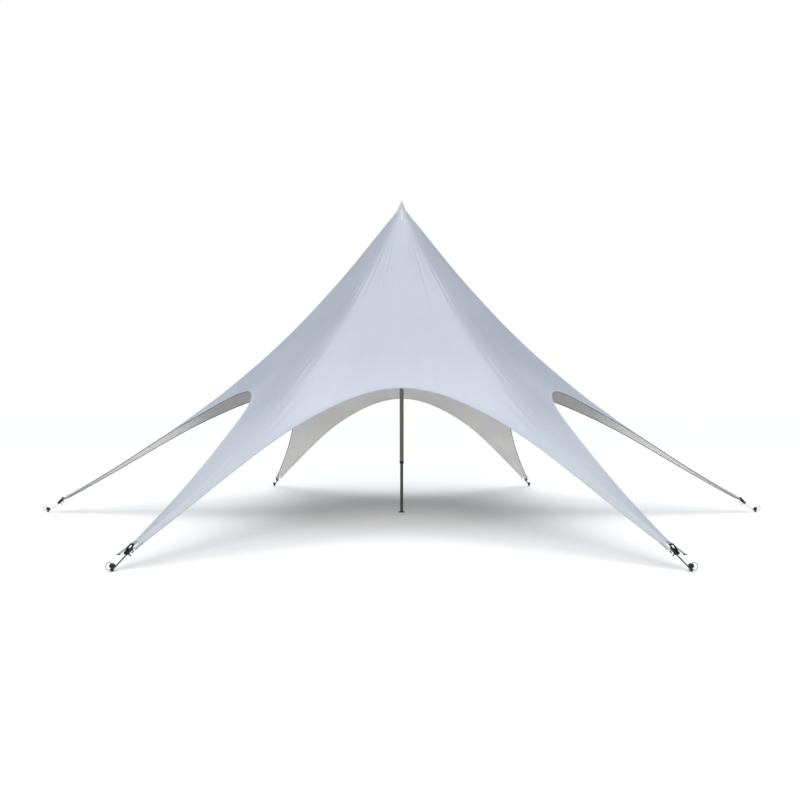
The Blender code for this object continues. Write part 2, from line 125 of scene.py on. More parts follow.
# Trim of the canopy
HEM_THICK = 0.0046
HEM_CORNER = 0.0022
HEM_PROUD = 0.002
HEM_STEPS = 145
STITCH_IN = 0.0045
CORD_RADIUS = 0.0050
CORD_IN = 0.002
CORD_UNDER = 0.0062
SEAM_RISE = 0.0010
SEAM_THICK = 0.0018
SEAM_STITCH_IN = 0.003
END_WIDTH = 0.030
END_RISE = 0.0014
TAIL_OVERLAP = 0.035
TAIL_WIDTH = 0.040
TAIL_THICK = 0.0024
TAIL_SPREAD = 0.07
TAIL_FALL = 0.58
TAIL_UNDER = 0.0045
TAIL_INSET = 0.02
TAIL_FOLD = 0.62
TAIL_FOLD_REACH = 0.10
TAIL_CURL = 0.05
TAIL_CURL_RATE = 38
TAIL_STEPS = 24
TAIL_CORD = 0.0042
BAR_SIZE = (0.011, 0.008, 0.003)
EAR_LENGTH = 0.215
TAB_LENGTH = 0.120
TAPE_FROM = 0.066
TAPE_LENGTH = 0.20
TAPE_HALF_WIDTHS = (0.022, 0.008)
TAPE_RISE = 0.0012
TAPE_THICK = 0.0020
CAP_TIP = 5.6465
CAP_SLOPE = 2.44
CAP_RIM = 0.005
CAP_POINT = 0.019
CAP_RISE = 0.004
CAP_BLEND = 0.002
CAP_THICK = 0.0022

# The mast
UPPER_RADIUS = 0.0365
UPPER_BORE = 0.0325
LOWER_RADIUS = 0.0275
LOWER_BORE = 0.0240
STEP_HEIGHT = 0.880
COLLAR_HEIGHT = 0.045
LOWER_TOP = 1.80
BUSH_HEIGHT = 0.060
SLIDE_GAP = 0.0004
FOOT_RADIUS = 0.065
FOOT_HEIGHT = 0.008

# Pegs and ties
PEG_RADIUS = 6.40
PEG_NECK = 0.012
PEG_HEAD = 0.032
PEG_HEAD_LOW = 0.043
PEG_HEAD_SIDE = 0.070
PEG_TOP = 0.090
PEG_RING = 0.042
PEG_RING_WIRE = 0.0035
PEG_RING_OUT = 0.046
PEG_RING_UP = 0.066
TIE_HEIGHT = 0.019
TIE_DROP = 0.050
STRAP_WIDTH = 0.025
STRAP_THICK = 0.0035
STRAP_PLY = 0.0022
HOOK_RADIUS = 0.0215
HOOK_WIRE = 0.004
SPOOL_AT = 0.250
SPOOL_RADIUS = 0.010
ROLL_TURN = 5 * math.pi
ROLL_START = 0.0004
ROLL_GROWTH = 0.0037
STRAP_LEVEL = -SPOOL_RADIUS - STRAP_THICK
SEWN_LENGTH = 0.040
LOOSE_END = ((6, -17.2), (13, -21), (20, -28), (24, -40), (23.5, -54), (20, -66))
CHEEK_OUT = 0.0205
WHEEL_RADIUS = 0.0148
WHEEL_GAP = 0.0004
WHEEL_OUT = 0.0030
TOOTH = 0.0032
PIN_AT = 0.078
PIN_RADIUS = 0.005
HANDLE_OUT = 0.0285
HANDLE_REACH = 0.114
HANDLE_RISE = 0.032
GRIP_SIZE = (0.0195, 0.0165, 0.006)
WEB_WIDTH = 0.033
WEB_PLY = 0.0022
WEB_FAN = 0.064
WEB_INSIDE = 0.16
WEB_RETURN = 0.028
WEB_TURN_START = 50
HANG_RADIUS = 0.020
HANG_OUT = 0.064
HANG_DROP = 0.030

# Meshes


def linear(code):
    """An sRGB hex colour as linear red, green, blue and alpha."""
    parts = [int(code[k : k + 2], 16) / 255 for k in (1, 3, 5)]
    return [c / 12.92 if c <= 0.04045 else ((c + 0.055) / 1.055) ** 2.4 for c in parts] + [1.0]


def unit(vectors):
    """Vectors divided by their lengths."""
    return vectors / np.linalg.norm(vectors, axis=-1, keepdims=True)


def grid(*parts):
    """Values brought to one grid and stacked as the parts of each point."""
    return np.stack(np.broadcast_arrays(*parts), -1)


def spun(points, degrees):
    """Points turned about Z by an angle."""
    a = math.radians(degrees)
    turn = np.array([[math.cos(a), math.sin(a), 0], [-math.sin(a), math.cos(a), 0], [0, 0, 1]])
    return np.asarray(points, float).reshape(-1, 3) @ turn


def run_along(path):
    """The distance covered at each point of a path."""
    return np.concatenate([[0], np.cumsum(np.linalg.norm(np.diff(path, axis=0), axis=-1))])


def grid_faces(rows, columns):
    """The faces of a grid of points, as rows of four indices."""
    i, j = np.meshgrid(np.arange(rows - 1), np.arange(columns - 1), indexing="ij")
    first = i * columns + j
    return np.stack([first, first + columns, first + columns + 1, first + 1], -1).reshape(-1, 4).tolist()


def new_piece(
    name, shape, finishes, body=ROOT, stands_for=(), sharp=40, shell=True, marks=None
):
    """A named mesh at the origin that rides on a body, from (points, faces, uv in metres for each point).

    Points that fall together, as at seams and poles, are joined, and a closed shell's faces turned out. Marks
    give each face the number of its finish.
    """
    points, faces, uv = shape
    mesh = bpy.data.meshes.new(name)
    mesh.from_pydata(np.asarray(points, float).reshape(-1, 3).tolist(), [], faces)
    corner = np.empty(len(mesh.loops), np.int64)
    mesh.loops.foreach_get("vertex_index", corner)
    layer = mesh.uv_layers.new(name="metres")
    layer.data.foreach_set("uv", np.asarray(uv, float).reshape(-1, 2)[corner].ravel())
    for finish in finishes:
        mesh.materials.append(FINISHES[finish])
    if marks is not None:
        mesh.polygons.foreach_set("material_index", marks)
    work = bmesh.new()
    work.from_mesh(mesh)
    bmesh.ops.remove_doubles(work, verts=work.verts, dist=2e-6)
    bmesh.ops.dissolve_degenerate(work, edges=work.edges, dist=1e-7)
    if shell:
        bmesh.ops.recalc_face_normals(work, faces=work.faces)
    work.to_mesh(mesh)
    work.free()
    mesh.shade_smooth()
    mesh.set_sharp_from_angle(angle=math.radians(sharp))
    obj = bpy.data.objects.new(name, mesh)
    bpy.context.scene.collection.objects.link(obj)
    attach(obj, body)
    if stands_for:
        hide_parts(*stands_for)
    return obj


def joined(*shapes):
    """Several (points, faces, uv) shapes as one, with the indices moved on."""
    points, faces, uv, start = [], [], [], 0
    for part_points, part_faces, part_uv in shapes:
        part_points = np.asarray(part_points, float).reshape(-1, 3)
        points.append(part_points)
        faces += [[k + start for k in face] for face in part_faces]
        uv.append(np.asarray(part_uv, float).reshape(-1, 2))
        start += len(part_points)
    return np.concatenate(points), faces, np.concatenate(uv)


def moved(shape, change):
    """A shape with its points put through a function."""
    return change(np.asarray(shape[0], float).reshape(-1, 3)), shape[1], shape[2]


def put(shape, degrees):
    """A shape on +X turned about Z to its own leg or gore."""
    return moved(shape, lambda points: spun(points, degrees))


def turned(profile, sides):
    """A profile of (radius, height) rows carried round Z: x = r cos t, y = r sin t, z = h."""
    profile = np.asarray(profile, float)
    angle = np.linspace(0, 2 * math.pi, sides + 1)[None, :]
    radius, height = profile[:, :1], profile[:, 1:]
    points = grid(radius * np.cos(angle), radius * np.sin(angle), height)
    return points, grid_faces(*points.shape[:2]), grid(angle * radius.max(), run_along(profile)[:, None])


def carried(path, across, up, profile):
    """A closed profile of (across, up) rows carried along a path of points, with flat ends.

    Each station's points are its path point plus the profile's first value times the across vector and its
    second times the up vector, which are the same all along or given for each station. The uv's first value
    runs round the profile and its second along the path.
    """
    loop = np.concatenate([profile, profile[:1]])
    across, up = (np.broadcast_to(vector, path.shape)[:, None] for vector in (across, up))
    points = path[:, None] + loop[None, :, :1] * across + loop[None, :, 1:] * up
    rows, columns = points.shape[:2]
    last = (rows - 1) * columns
    ends = [list(range(columns - 1)), [last + k for k in range(columns - 2, -1, -1)]]
    return points, grid_faces(rows, columns) + ends, grid(run_along(loop)[None, :], run_along(path)[:, None])


def between(top, bottom):
    """A closed sheet between two grids of points, with its rim, and the uv in metres across and along."""
    rows, columns = top.shape[:2]
    loop = np.concatenate([top, bottom[:, ::-1], top[:, :1]], axis=1)
    uv = grid(run_along(loop[rows // 2])[None, :], run_along(top[:, columns // 2])[:, None])
    faces = grid_faces(rows, 2 * columns + 1)
    last = (rows - 1) * (2 * columns + 1)
    for k in range(columns - 1):
        near = [k, k + 1, 2 * columns - 2 - k, 2 * columns - 1 - k]
        faces += [near, [last + index for index in reversed(near)]]
    return loop, faces, uv


def rounded_box(width, height, corner, steps=3):
    """A rectangle's outline with round corners: each corner is a quarter circle about its own centre."""
    quarter = np.linspace(0, math.pi / 2, steps + 1)
    rows = []
    for k, (x, y) in enumerate(((1, 1), (-1, 1), (-1, -1), (1, -1))):
        angle = quarter + k * math.pi / 2
        place = np.array([x * (width / 2 - corner), y * (height / 2 - corner)])
        rows.append(place + corner * grid(np.cos(angle), np.sin(angle)))
    return np.concatenate(rows)


def circle(radius, sides, centre=(0.0, 0.0)):
    """A circle's outline: the centre plus the radius times the cosine and sine of even angles."""
    angle = np.linspace(0, 2 * math.pi, sides, endpoint=False)
    return np.asarray(centre) + radius * grid(np.cos(angle), np.sin(angle))


def wire_ring(radius, wire, sides):
    """A ring of round wire about Z: the wire's circle carried round it."""
    section = circle(wire, 12, (radius, 0))
    return turned(np.concatenate([section, section[:1]]), sides)


# The canopy's surface


def bell(value, middle, reach):
    """A bell curve: e to the minus square of the distance from the middle over the reach."""
    return np.exp(-(((value - middle) / reach) ** 2))


def ridge_height(radius):
    """The height over a leg: a cubic in the distance from the mast, less a bell near the apex."""
    cubic = APEX_HEIGHT - RIDGE_SLOPE * radius + RIDGE_CURVE * radius**2 - RIDGE_EASE * radius**3
    return cubic - POINT_DEPTH * bell(radius, POINT_AT, POINT_REACH)


def sag(radius):
    """How far a gore's middle lies under its ridges: a square law that eases off, plus a fold at the tips."""
    panel = SAG_RATE * radius**2 * np.exp(-((radius / SAG_REACH) ** 4))
    fold = TIP_FOLD * HALF_GORE / 2 * radius * np.exp((radius - TIP_RADIUS) / TIP_FOLD_REACH)
    return panel + fold


def eased_square(share, radius):
    """The square of the share, but beside the ridge a cubic brings it level, so the ridge is rounded.

    The eased part is wide near the apex and shrinks to almost nothing at the tips.
    """
    share = np.abs(share)
    width = EASED_SHARE * np.exp(-((radius / EASED_REACH) ** 5)) + EASED_LEAST
    start = 1 - width
    t = np.clip((share - start) / width, 0, 1)
    level = start**2 * (2 * t**3 - 3 * t**2 + 1) + (3 * t**2 - 2 * t**3)
    return np.where(share < start, share**2, level + 2 * start * width * (t**3 - 2 * t**2 + t))


def folds(radius, share, azimuth):
    """The height of small tension folds at a distance from the mast, a share of the gore and an azimuth.

    Pleats are sine waves round the mast under a bell over the distance. A drag line is a narrow bell beside
    the ridge, under a longer bell along it. A short fold under the cap runs down each gore's middle. Small
    sine waves lie in the crown of each side arch, along its edge, which bows out with the square of the
    distance aside, and others run beside the ridge low on a leg.
    """
    height = sum(rise * np.sin(count * azimuth + start) for count, start, rise in PLEATS)
    height = height * bell(radius, PLEAT_AT, PLEAT_REACH)
    beside = (1 - np.abs(share)) * HALF_GORE * radius
    for at, length, aside, width, rise in DRAG_LINES:
        height = height + rise * bell(radius, at, length) * bell(beside, aside, width)
    at, length, width, rise = CENTRE_FOLD
    height = height + rise * bell(radius, at, length) * bell(share * HALF_GORE * radius, 0, width)
    spacing, at, width, length, rise = CROWN_FOLDS
    aside = radius * np.sin(share * HALF_GORE)
    inside = CROWN_RADIUS + CROWN_BOW * aside**2 - radius * np.cos(share * HALF_GORE)
    wave = rise * np.abs(np.cos(azimuth)) * np.sin(2 * math.pi * inside / spacing)
    height = height + wave * bell(inside, at, width) * bell(aside, 0, length)
    count, sway, rate, reach, rise = RIPPLE
    ripple = rise * np.sin(beside * count + sway * np.sin(radius * rate)) * bell(beside, 0, reach)
    return height + ripple * np.clip((radius - RIPPLE_FROM) / RIPPLE_SPAN, 0, 1)


def shown_height(radius, share, azimuth):
    """The height of the shown cloth's outer side: the solid's form, eased at the ridges, with its folds."""
    form = ridge_height(radius) - sag(radius) * (1 - eased_square(share, radius))
    return form - CLOTH_DEPTH * SLANT + folds(radius, share, azimuth)


def height_at(along, aside, azimuth, on_leg=True):
    """The same height by the distance along and aside from a leg's ridge or a gore's middle line."""
    angle = np.arctan2(aside, along)
    share = np.abs(angle) / HALF_GORE
    return shown_height(np.hypot(along, aside), 1 - share if on_leg else share, azimuth + angle)


def hollow(along, aside):
    """How far a leg's end is cut back: most in its middle and nothing at its corners, fading up the leg."""
    fade = np.clip((along - TIP_RADIUS + TIP_HOLLOW_REACH) / TIP_HOLLOW_REACH, 0, 1)
    return TIP_HOLLOW * np.clip(1 - (aside / TIP_HALF_WIDTH) ** 2, 0, 1) * fade**2 * (3 - 2 * fade)


def gore_plan(down, across):
    """Where a point of the gore lies seen from above, from its place down and across, both as shares.

    A row is a hyperbola from leg to leg through the gore's middle line. Its ends run down the two ridges to
    the tips, and past the share where the tip begins they turn in along the tip's end, which is cut hollow.
    """
    radius = TOP_RADIUS + (TIP_RADIUS - TOP_RADIUS) * np.minimum(down / TIP_SHARE, 1)
    inward = TIP_HALF_WIDTH * np.maximum(down - TIP_SHARE, 0) / (1 - TIP_SHARE)
    cos, sin = math.cos(HALF_GORE), math.sin(HALF_GORE)
    end_along = radius * cos + inward * sin
    end_across = radius * sin - inward * cos
    reach = TOP_RADIUS + (TIP_RADIUS - TOP_RADIUS) * down
    middle = CROWN_RADIUS * (1 - (1 - reach / TIP_RADIUS) ** (TIP_RADIUS / CROWN_RADIUS))
    bent = np.sqrt(1 + (across * end_across / HEM_BEND) ** 2) - 1
    bent = bent / (np.sqrt(1 + (end_across / HEM_BEND) ** 2) - 1)
    along, side = middle + (end_along - middle) * bent, across * end_across
    back = hollow(along * cos + np.abs(side) * sin, along * sin - np.abs(side) * cos)
    return along - back * cos, side - np.sign(side) * back * sin


def gore_points(down, across, azimuth):
    """The shown outer surface of the gore whose middle runs along +X, before it is turned to its azimuth."""
    along, side = gore_plan(down, across)
    angle = np.arctan2(side, along)
    share = np.clip(angle / HALF_GORE, -1, 1)
    return grid(along, side, shown_height(np.hypot(along, side), share, azimuth + angle))


# The tie line of the leg on +X


def tie_frame():
    """The spool's centre and its axes: uphill along the tie, aside, away from the ground, and the slope."""
    slope = math.atan2(ridge_height(TIP_RADIUS) - TIE_DROP - TIE_HEIGHT, PEG_RADIUS - TIP_RADIUS)
    uphill = np.array([-math.cos(slope), 0, math.sin(slope)])
    away = np.array([math.sin(slope), 0, math.cos(slope)])
    centre = np.array([PEG_RADIUS, 0, TIE_HEIGHT]) + SPOOL_AT * uphill - STRAP_LEVEL * away
    return centre, uphill, np.cross(away, uphill), away, slope


def on_tie(points):
    """Points in the spool's frame moved to the leg on +X."""
    centre, uphill, side, away, _ = tie_frame()
    points = np.asarray(points, float)
    return centre + points[..., :1] * uphill + points[..., 1:2] * side + points[..., 2:3] * away


def flat_strip(path, width, thick, corner):
    """A flat strip that stands across the spool's upright plane, its outline carried along a path in it."""
    up = unit(np.cross([0, 1, 0], unit(np.gradient(path, axis=0))))
    return carried(path, [0, 1, 0], up, rounded_box(width, thick, corner))


# Finishes

# Stitches come every 5.2 mm, a quarter of it gap, and are 0.8 mm thick. Threads are 0.4 mm apart on the real
# cloth, and are drawn 4 mm apart so that the weave shows close up.
STITCH_PITCH = 0.0052
STITCH_GAP = 0.25
STITCH_THICK = 0.0008
WEAVE_PITCH = 0.004
PAINT = {"out": 2, "data_type": "RGBA", "blend_type": "MIX"}
TINT = {"out": 2, "data_type": "RGBA", "blend_type": "MULTIPLY"}


def node(tree, kind, inputs=(), out=0, **settings):
    """Adds one node with its settings and links, and returns one of its outputs, or all where out is None.

    Its inputs are a list in order, or a dict by name or number, of values or of the outputs linked to them.
    """
    made = tree.nodes.new("ShaderNode" + kind)
    for key, value in settings.items():
        setattr(made, key, value)
    for key, value in inputs.items() if isinstance(inputs, dict) else enumerate(inputs):
        if isinstance(value, bpy.types.NodeSocket):
            tree.links.new(value, made.inputs[key])
        else:
            made.inputs[key].default_value = value
    return made.outputs if out is None else made.outputs[out]


def new_finish(name, **values):
    """A material, its node function and its shader, with what is the same all over set on the shader."""
    made = bpy.data.materials.new(name)
    made.use_nodes = True
    shader = made.node_tree.nodes["Principled BSDF"]
    for key, value in values.items():
        shader.inputs[key.replace("_", " ")].default_value = value
    return made, partial(node, made.node_tree), shader


def dress(add, shader, colour, rough, *layers):
    """Links the colour, the roughness and layers of bump as (height, depth in metres, strength)."""
    normal = None
    for height, depth, strength in layers:
        below = {"Normal": normal} if normal else {}
        normal = add("Bump", {"Height": height, "Distance": depth, "Strength": strength} | below)
    for name, value in (("Base Color", colour), ("Roughness", rough), ("Normal", normal)):
        if value:
            shader.id_data.links.new(value, shader.inputs[name])


def woven(add, place, pitch):
    """The height of a plain weave: two crossed sine bands a thread's pitch apart, the higher one kept."""
    # At a scale of 1 the bands repeat every pi / 10
    wave = {"Vector": place, "Scale": math.pi / 10 / pitch}
    bands = [add("TexWave", wave, "Fac", bands_direction=way) for way in "XY"]
    return add("Math", bands, operation="MAXIMUM")


def stitches(add, uv, rows):
    """1 on the threads of straight stitches: rows at distances across the piece, and dashes along it."""
    parts = add("SeparateXYZ", [uv], None)
    dash = parts["Y"]
    for kind, value in (("DIVIDE", STITCH_PITCH), ("FRACT", 0.0), ("GREATER_THAN", STITCH_GAP)):
        dash = add("Math", [dash, value], operation=kind)
    found = 0.0
    for at in rows:
        line = add("Math", [parts["X"], at, STITCH_THICK / 2], operation="COMPARE")
        found = add("Math", [found, line], operation="MAXIMUM")
    return add("Math", [found, dash], operation="MULTIPLY")


def coated_cloth(name, light, dark, roughness, sheen=0.0, seams=(), painted_glow=0.46, painted_shade=False):
    """Woven polyester with a polyurethane coat.

    The coat lays a faint plastic sheen over the weave, so it is neither matt nor glossy. Long soft changes of
    tone run through it where it is pulled, and it is a little soiled near the ground. Seams are the distances
    of its rows of stitches across the piece. Painted glow says how much whiter it is painted low on a leg,
    as painted light where light would shine through the thin cloth, and painted shade darkens the inner
    face inside the roots of the two side legs.
    """
    made, add, shader = new_finish(name, Metallic=0.0, IOR=1.46, Sheen_Weight=sheen)
    light, dark = linear(light), linear(dark)
    place = add("TexCoord", out="Object")
    uv = add("UVMap", uv_map="metres")
    parts = add("SeparateXYZ", [place], None)
    tone = add("TexNoise", {"Vector": place, "Scale": 0.9, "Detail": 3.0})
    cloud = add("TexNoise", {"Vector": place, "Scale": 11.0, "Detail": 5.0, "Roughness": 0.6})
    colour = add("Mix", {0: add("MapRange", [tone, 0.32, 0.68]), 6: dark, 7: light}, **PAINT)
    # Faint streaks where the cloth is pulled, from the apex down: about 5 cm apart at 1.2 m from the mast
    around = add("Math", [parts["Y"], parts["X"]], operation="ARCTAN2")
    around = add("Math", [around, 24.0], operation="MULTIPLY")
    flow = add("CombineXYZ", [around, add("Math", [parts["Z"], 0.6], operation="MULTIPLY")])
    streak = add("TexNoise", {"Vector": flow, "Scale": 1.0, "Detail": 3.0})
    colour = add("Mix", {0: add("MapRange", [streak, 0, 1, 0, 0.18]), 6: colour, 7: dark}, **TINT)
    # Painted light: whiter low on the legs, as if lit through the thin cloth, and a little soiled next to the
    # ground
    legs = add("MapRange", [parts["Z"], 2.7, 0.9, 0, painted_glow])
    colour = add("Mix", {0: legs, 6: colour, 7: linear("#FFFFFF")}, **PAINT)
    low = add("Math", [add("MapRange", [parts["Z"], 1.1, 0.2, 0, 0.55]), cloud], operation="MULTIPLY")
    colour = add("Mix", {0: low, 6: colour, 7: linear("#A9A8A2")}, **PAINT)
    if painted_shade:
        # Painted shade: the inner face is darker inside the roots of the two side legs
        found = 1.0
        for axis, start, end in (("X", 2.0, 2.8), ("X", 4.4, 3.4), ("Y", 1.8, 0.9)):
            size = add("Math", [parts[axis]], operation="ABSOLUTE")
            edge = add("MapRange", [size, start, end], interpolation_type="SMOOTHSTEP")
            found = add("Math", [found, edge], operation="MULTIPLY")
        colour = add("Mix", {0: found, 6: colour, 7: linear("#CDCDD1")}, **TINT)
    weave = woven(add, uv, WEAVE_PITCH)
    colour = add("Mix", {0: add("MapRange", [weave, 0, 1, 0.10, 0]), 6: colour, 7: dark}, **TINT)
    layers = [(cloud, 0.003, 0.22), (weave, 0.0004, 0.35)]
    if seams:
        thread = stitches(add, uv, seams)
        colour = add("Mix", {0: thread, 6: colour, 7: linear("#9EA2AC")}, **PAINT)
        layers.append((thread, 0.0006, 0.8))
    rough = add("MapRange", [tone, 0, 1, roughness - 0.05, roughness + 0.07])
    dress(add, shader, colour, rough, *layers)
    return made


def webbing(name, code, worn, pitch):
    """Polyester webbing: ribs of heavy yarn across the strap, matt, a little lighter where it has rubbed."""
    made, add, shader = new_finish(name, Metallic=0.0, IOR=1.5, Roughness=0.85)
    code, worn = linear(code), linear(worn)
    weave = woven(add, add("UVMap", uv_map="metres"), pitch)
    rub = add("TexNoise", {"Vector": add("TexCoord", out="Object"), "Scale": 45.0, "Detail": 3.0})
    colour = add("Mix", {0: add("MapRange", [rub, 0.35, 0.75]), 6: code, 7: worn}, **PAINT)
    colour = add("Mix", {0: add("MapRange", [weave, 0, 1, 0.45, 0]), 6: colour, 7: code}, **TINT)
    dress(add, shader, colour, None, (rub, 0.0006, 0.3), (weave, 0.0008, 0.8))
    return made


def hard(name, code, dull, metallic, roughness, grain, depth):
    """A metal, paint or plastic: two tones in its grain, a change of gloss with it, and a shallow bump.

    The grain is given in waves per metre along X, Y and Z, and the depth in millimetres.
    """
    made, add, shader = new_finish(name, Metallic=metallic)
    place = add("Mapping", {"Vector": add("TexCoord", out="Object"), "Scale": grain})
    noise = add("TexNoise", {"Vector": place, "Scale": 1.0, "Detail": 5.0, "Roughness": 0.6})
    share = add("MapRange", [noise, 0.3, 0.7])
    colour = add("Mix", {0: share, 6: linear(dull), 7: linear(code)}, **PAINT)
    rough = add("MapRange", [noise, 0, 1, roughness + 0.10, roughness - 0.06])
    dress(add, shader, colour, rough, (noise, depth / 1000, 0.5))
    return made


FINISHES = {}


def make_finishes(sizes):
    """Every finish of the tent, by a plain name."""
    light, dark = sizes.light, sizes.dark
    hem_rows = (STITCH_IN, sizes.hem - STITCH_IN)
    seam_rows = (SEAM_STITCH_IN, sizes.seam - SEAM_STITCH_IN)
    FINISHES.update(
        # White coated polyester seen outside, cool in tone
        outer=coated_cloth("coated_polyester_outer", light, dark, 0.37, 0.02),
        # The same cloth folded over as a hem, with two rows of stitches
        hem=coated_cloth("stitched_polyester_hem", light, dark, 0.45, 0.05, hem_rows),
        # The same cloth lapped over a leg, with a row of stitches by each edge
        seam=coated_cloth("stitched_polyester_seam", light, dark, 0.38, 0.05, seam_rows),
        # Its inner face has no top coat, so it is duller and warmer, with painted shade inside the side legs'
        # roots
        inner=coated_cloth("coated_polyester_inner", "#ECEAE7", "#E2E0DD", 0.70, painted_glow=0.0, painted_shade=True),
        # Light grey coated cloth of the cap
        cap=coated_cloth("coated_polyester_cap", "#F6F7F8", "#ECEDEE", 0.60),
        # White tape with a glossy coat sewn on under the cap, the brightest part of the cloth.
        # Its white is a painted highlight for the glint on the cloth just under the cap
        tape=coated_cloth("glossy_polyester_tape", "#FFFFFF", "#F4F6FC", 0.26, 0.10),
        # Dark grey cord sewn in under the edge; its darkness is partly painted shade along shaded edges
        piping=webbing("grey_cord_painted_edge_shade", "#2E3033", "#3E4043", 0.0012),
        # Dark anodised aluminium tube, drawn lengthwise
        tube=hard("anodised_aluminium_tube", "#84857A", "#6D6E63", 0.85, 0.42, (90, 90, 2), 0.05),
        # The inner tube is darker than the outer one and a little scored
        inner_tube=hard(
            "anodised_aluminium_inner_tube", "#6C6D61", "#56574D", 0.85, 0.45, (120, 120, 1.2), 0.07
        ),
        # Powder coat over steel: fine orange peel, satin
        black=hard("black_powder_coat", "#1C1D1F", "#101113", 0.0, 0.48, (900, 900, 900), 0.12),
        # Zinc plate on the ring and the toothed wheels: bright with dull bloom
        zinc=hard("zinc_plated_steel", "#8B8D8F", "#6D7072", 1.0, 0.35, (220, 220, 220), 0.04),
        # Moulded plastic of the lever's grip: fine spark-eroded texture
        grip=hard("moulded_grip_plastic", "#1B1B1C", "#131314", 0.0, 0.62, (500, 500, 500), 0.10),
        # Black strap webbing: heavy ribs, matt
        black_web=webbing("black_polyester_webbing", "#131415", "#232426", 0.0016),
        # White webbing that ties the leg: heavy ribs, a little greyed by handling
        white_web=webbing("white_polyester_webbing", "#C4C5C9", "#D4D5D9", 0.0018),
        # Unbleached grey webbing of the ears, seen from its backed side
        ear_web=webbing("grey_polyester_webbing", "#B4BDBB", "#C9D0CE", 0.0018),
    )


# Sizes that a user would change, and those of the stage that stay

FLOOR_REACH = 400.0
FRAME_SHIFT = (-0.0021, 0.0238)
VIEW_END = 2000


class CanopySizes(PropertyGroup):
    light: StringProperty(name="Light tone", description="Lighter tone of the outer cloth", default="#DEDFEA")
    dark: StringProperty(name="Dark tone", description="Darker tone of the outer cloth", default="#D5D7E3")
    hem: FloatProperty(
        name="Hem", description="Width of each arch's hem", default=0.045, min=0.01, max=0.2, unit="LENGTH"
    )
    seam: FloatProperty(
        name="Seam", description="Width of each leg's seam", default=0.026, min=0.01, max=0.1, unit="LENGTH"
    )


class FittingSizes(PropertyGroup):
    sides: IntProperty(name="Sides", description="Sides of a turned piece", default=64, min=12, max=128)
    teeth: IntProperty(name="Teeth", description="Teeth on a ratchet wheel", default=13, min=6, max=24)


class StageSizes(PropertyGroup):
    distance: FloatProperty(
        name="Camera distance", description="From the mast to the camera", default=14.24, min=1, unit="LENGTH"
    )
    eye: FloatProperty(name="Eye height", description="Camera above ground", default=1.685, unit="LENGTH")
    lens: FloatProperty(name="Lens", description="Focal length in mm", default=35.4, min=10, unit="CAMERA")
    ambient: FloatProperty(name="Ambient", description="Even light from all round", default=0.2, min=0)
    top_light: FloatProperty(name="Top light", description="On the tent from above", default=1.75, min=0)
    back_light: FloatProperty(name="Back light", description="On the tent from behind", default=0.8, min=0)
    floor_light: FloatProperty(name="Floor light", description="On the floor alone", default=1.0, min=0)


# Pieces


